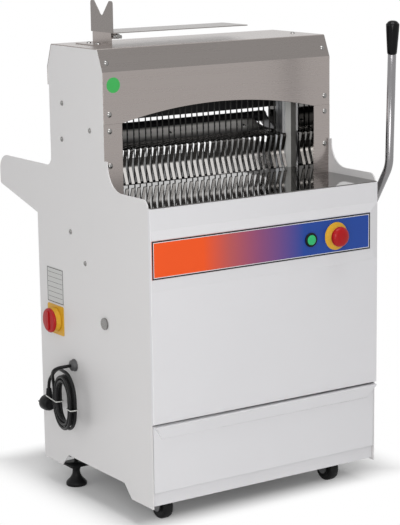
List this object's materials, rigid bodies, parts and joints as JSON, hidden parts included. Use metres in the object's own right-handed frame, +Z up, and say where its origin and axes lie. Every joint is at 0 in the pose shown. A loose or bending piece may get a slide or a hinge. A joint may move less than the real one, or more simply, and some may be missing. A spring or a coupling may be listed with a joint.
{
  "type": "bread slicer",
  "caption": "Floor-standing bread slicer with two reciprocating blade frames, a comb pusher worked by a side lever, a bag tray, a crumb drawer, castors and feet.",
  "frame": {"origin": "on the floor, under the middle of the machine's box measured without the mains lead", "axes": "+Z up; the operator's side with the controls faces -Y; the feed lever is on +X"},
  "size_m": [0.7401, 0.7418, 1.187],
  "materials": {
    "white_paint": "smooth satin white powder coat",
    "black_paint": "matt black",
    "stainless": "brushed stainless sheet",
    "polished_steel": "polished",
    "grey_steel": "satin grey",
    "aluminium": "satin",
    "blade_steel": "ground steel",
    "motor_paint": "satin",
    "white_plastic": "matt",
    "black_plastic": "satin",
    "grey_plastic": "matt",
    "grip_plastic": "satin black",
    "foot_plastic": "matt",
    "yellow_plastic": "satin",
    "red_plastic": "satin",
    "green_plastic": "satin",
    "printed_strip": "printed film with a plain colour gradient",
    "silver_label": "matt film",
    "cable_black": "satin",
    "belt_rubber": "matt",
    "wheel_rubber": "matt grey"
  },
  "bodies": {
    "root": {"left_side_panel": "white_paint", "right_side_panel": "white_paint", "front_panel": "white_paint", "rear_panel": "white_paint", "plinth": "white_paint", "base_plate": "black_paint", "hood": "stainless", "infill_plates": "stainless", "front_table": "stainless", "rear_table": "stainless", "column_liners": "stainless", "guide_posts": "white_plastic", "cross_beams": "grey_steel", "pusher_rails": "polished_steel", "motor": "motor_paint", "motor_shelf": "grey_steel", "shaft_stands": "grey_steel", "lever_bushes": "white_plastic", "drawer_runners": "grey_steel", "control_strip": "printed_strip", "button_bezel": "black_plastic", "estop_disc": "yellow_plastic", "control_box": "grey_plastic", "switch_plate": "yellow_plastic", "rating_plate": "silver_label", "rear_feet": "foot_plastic", "caster_forks": "polished_steel", "bag_bracket": "stainless", "bag_tray": "stainless", "tray_clamp": "black_plastic", "cable_gland": "grey_plastic", "dome_screws": "polished_steel", "lead_to_coil": "cable_black", "mains_coil": "cable_black", "lead_to_plug": "cable_black", "cable_ties": "white_plastic", "mains_plug": "cable_black", "drive_belt": "belt_rubber"},
    "lever": {"lever_shaft": "polished_steel", "lever_tube": "grey_steel", "lever_grip": "grip_plastic", "lever_arms": "grey_steel"},
    "pusher": {"pusher_comb": "polished_steel", "pusher_guard": "polished_steel", "pusher_plates": "grey_steel"},
    "blades_front": {"blade_frame_a": "aluminium", "blades_a": "blade_steel"},
    "blades_rear": {"blade_frame_b": "aluminium", "blades_b": "blade_steel"},
    "front_rod": {"rod_a": "grey_steel"},
    "rear_rod": {"rod_b": "grey_steel"},
    "crank": {"crankshaft": "polished_steel", "crank_pulley": "grey_steel"},
    "rotor": {"motor_pulley": "grey_steel"},
    "drawer": {"crumb_drawer": "white_paint"},
    "start": {"start_button": "green_plastic"},
    "estop": {"estop_head": "red_plastic"},
    "switch": {"switch_knob": "red_plastic"},
    "wheel_left": {"caster_wheel_left": "wheel_rubber"},
    "wheel_right": {"caster_wheel_right": "wheel_rubber"}
  },
  "joints": [
    {"name": "lever_swing", "type": "hinge", "parent": "root", "child": "lever", "pos_m": [0.34012, -0.1321, 0.455], "axis": [-1, 0, 0], "range_deg": [0, 57.6]},
    {"name": "pusher_slide", "type": "slide", "parent": "root", "child": "pusher", "axis": [0, 1, 0], "range_m": [0, 0.22]},
    {"name": "front_blades_stroke", "type": "slide", "parent": "root", "child": "blades_front", "axis": [0, 0, 1], "range_m": [-0.01, 0.01]},
    {"name": "rear_blades_stroke", "type": "slide", "parent": "root", "child": "blades_rear", "axis": [0, 0, 1], "range_m": [-0.01, 0.01]},
    {"name": "front_rod_swing", "type": "hinge", "parent": "blades_front", "child": "front_rod", "pos_m": [-0.00988, -0.0151, 0.677], "axis": [1, 0, 0], "range_deg": [0, 9.8]},
    {"name": "rear_rod_swing", "type": "hinge", "parent": "blades_rear", "child": "rear_rod", "pos_m": [-0.00988, 0.0009, 0.677], "axis": [1, 0, 0], "range_deg": [-9.8, 0]},
    {"name": "crank_spin", "type": "hinge", "parent": "root", "child": "crank", "pos_m": [-0.00988, -0.0071, 0.56], "axis": [1, 0, 0], "continuous": true},
    {"name": "motor_spin", "type": "hinge", "parent": "root", "child": "rotor", "pos_m": [-0.00988, -0.1021, 0.372], "axis": [1, 0, 0], "continuous": true},
    {"name": "drawer_slide", "type": "slide", "parent": "root", "child": "drawer", "axis": [0, -1, 0], "range_m": [0, 0.33]},
    {"name": "start_press", "type": "slide", "parent": "root", "child": "start", "axis": [0, 1, 0], "range_m": [0, 0.003], "stiffness_N_per_m": 400},
    {"name": "estop_press", "type": "slide", "parent": "root", "child": "estop", "axis": [0, 1, 0], "range_m": [0, 0.004], "stiffness_N_per_m": 800},
    {"name": "switch_turn", "type": "hinge", "parent": "root", "child": "switch", "pos_m": [-0.33988, 0.1019, 0.422], "axis": [-1, 0, 0], "range_deg": [0, 90]},
    {"name": "wheel_left_spin", "type": "hinge", "parent": "root", "child": "wheel_left", "pos_m": [-0.25188, -0.2391, 0.033], "axis": [1, 0, 0], "continuous": true},
    {"name": "wheel_right_spin", "type": "hinge", "parent": "root", "child": "wheel_right", "pos_m": [0.23212, -0.2391, 0.033], "axis": [1, 0, 0], "continuous": true}
  ],
  "couplings": [
    {"joint": "pusher_slide", "follows": "lever_swing", "m_per_rad": 0.2188},
    {"joint": "rear_blades_stroke", "follows": "front_blades_stroke", "ratio": -1},
    {"joint": "motor_spin", "follows": "crank_spin", "ratio": 2}
  ]
}
